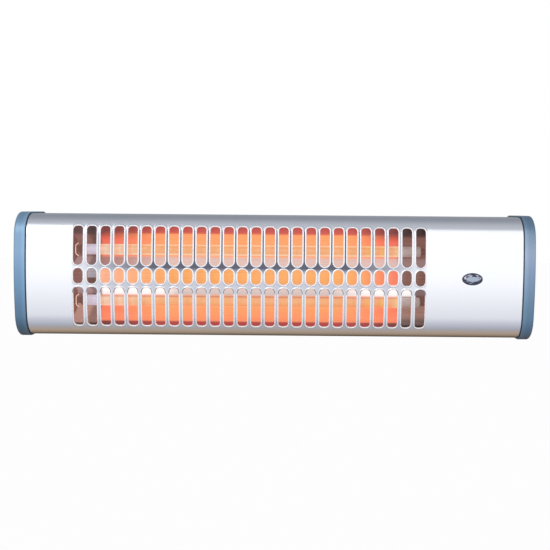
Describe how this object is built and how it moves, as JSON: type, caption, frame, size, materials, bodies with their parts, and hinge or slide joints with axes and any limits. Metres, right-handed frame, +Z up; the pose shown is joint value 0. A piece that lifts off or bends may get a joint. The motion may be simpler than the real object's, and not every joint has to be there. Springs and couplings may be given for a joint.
{
  "type": "electric bar heater",
  "caption": "Wall-hung electric bar heater: quartz bars and a polished reflector behind a slotted, brushed steel front with blue-grey end caps, on a tilting wall bracket.",
  "frame": {"origin": "centre of the wall bracket's wall face", "axes": "+X to the right for someone in front, along the bars; +Y into the wall, so that the front faces -Y; +Z up"},
  "size_m": [0.505, 0.1155, 0.123],
  "materials": {
    "brushed_steel": "brushed along the length",
    "painted_steel": "satin light grey paint",
    "zinc_steel": "bright zinc plating",
    "blue_plastic": "smooth blue-grey moulding",
    "dark_plastic": "satin dark moulding",
    "white_plastic": "satin off-white moulding",
    "mirror_aluminium": "polished reflector",
    "quartz": "satin quartz",
    "heating_wire": "red-hot resistance wire",
    "steatite": "unglazed white ceramic",
    "brass": "plain",
    "rubber": "matt black",
    "lens": "faceted clear lens over a dark lamp",
    "wire_blue": "insulation",
    "wire_white": "woven glass insulation",
    "wire_brown": "insulation",
    "wire_green": "insulation",
    "wire_black": "insulation"
  },
  "bodies": {
    "bracket": {"wall_bracket": "zinc_steel"},
    "casing": {"front_cover": "brushed_steel", "back_pan": "painted_steel", "end_cap_left": "blue_plastic", "end_cap_right": "blue_plastic", "cap_screw_left_upper": "zinc_steel", "cap_screw_left_lower": "zinc_steel", "cap_screw_right_upper": "zinc_steel", "cap_screw_right_lower": "zinc_steel", "cover_screw_left_upper": "zinc_steel", "cover_screw_left_lower": "zinc_steel", "cover_screw_right_upper": "zinc_steel", "cover_screw_right_lower": "zinc_steel", "element_plate_left": "zinc_steel", "element_plate_right": "zinc_steel", "pivot_lug_left": "zinc_steel", "pivot_lug_right": "zinc_steel", "clamp_nut_left": "zinc_steel", "clamp_nut_right": "zinc_steel", "switch_pin": "zinc_steel", "switch_spring": "zinc_steel", "switch_shelf": "zinc_steel", "switch_screw": "zinc_steel", "reflector": "mirror_aluminium", "quartz_tube_upper": "quartz", "quartz_tube_lower": "quartz", "heating_coil_upper": "heating_wire", "heating_coil_lower": "heating_wire", "ceramic_end_upper_left": "steatite", "ceramic_end_upper_right": "steatite", "ceramic_end_lower_left": "steatite", "ceramic_end_lower_right": "steatite", "neutral_link": "brass", "crimp_upper": "brass", "crimp_lower": "brass", "terminal_screw_live": "brass", "terminal_screw_earth": "brass", "terminal_screw_neutral": "brass", "earth_screw": "brass", "indicator_bezel": "dark_plastic", "cord_bush": "dark_plastic", "indicator_lens": "lens", "lamp_body": "white_plastic", "switch_body": "white_plastic", "terminal_block": "white_plastic", "mains_grommet": "rubber", "friction_washer_left": "rubber", "friction_washer_right": "rubber", "wire_neutral_return": "wire_blue", "wire_live_upper": "wire_white", "wire_live_lower": "wire_white", "wire_switch_feed": "wire_brown", "wire_earth": "wire_green", "wire_lamp_neutral": "wire_black", "wire_lamp_live": "wire_black"},
    "left_knob": {"tilt_knob_left": "dark_plastic", "knob_stud_left": "zinc_steel"},
    "right_knob": {"tilt_knob_right": "dark_plastic", "knob_stud_right": "zinc_steel"},
    "pull_lever": {"switch_lever": "dark_plastic"}
  },
  "joints": [
    {"name": "casing_tilt", "type": "hinge", "parent": "bracket", "child": "casing", "pos_m": [0, -0.024, 0], "axis": [1, 0, 0], "range_deg": [0, 30]},
    {"name": "left_knob_turn", "type": "hinge", "parent": "casing", "child": "left_knob", "pos_m": [-0.117, -0.024, 0], "axis": [-1, 0, 0], "range_deg": [0, 180]},
    {"name": "right_knob_turn", "type": "hinge", "parent": "casing", "child": "right_knob", "pos_m": [0.117, -0.024, 0], "axis": [1, 0, 0], "range_deg": [0, 180]},
    {"name": "switch_pull", "type": "hinge", "parent": "casing", "child": "pull_lever", "pos_m": [0.1874, -0.06685, -0.0379], "axis": [0, 1, 0], "range_deg": [0, 18], "stiffness_Nm_per_rad": 0.1, "springref_deg": -17.19}
  ]
}
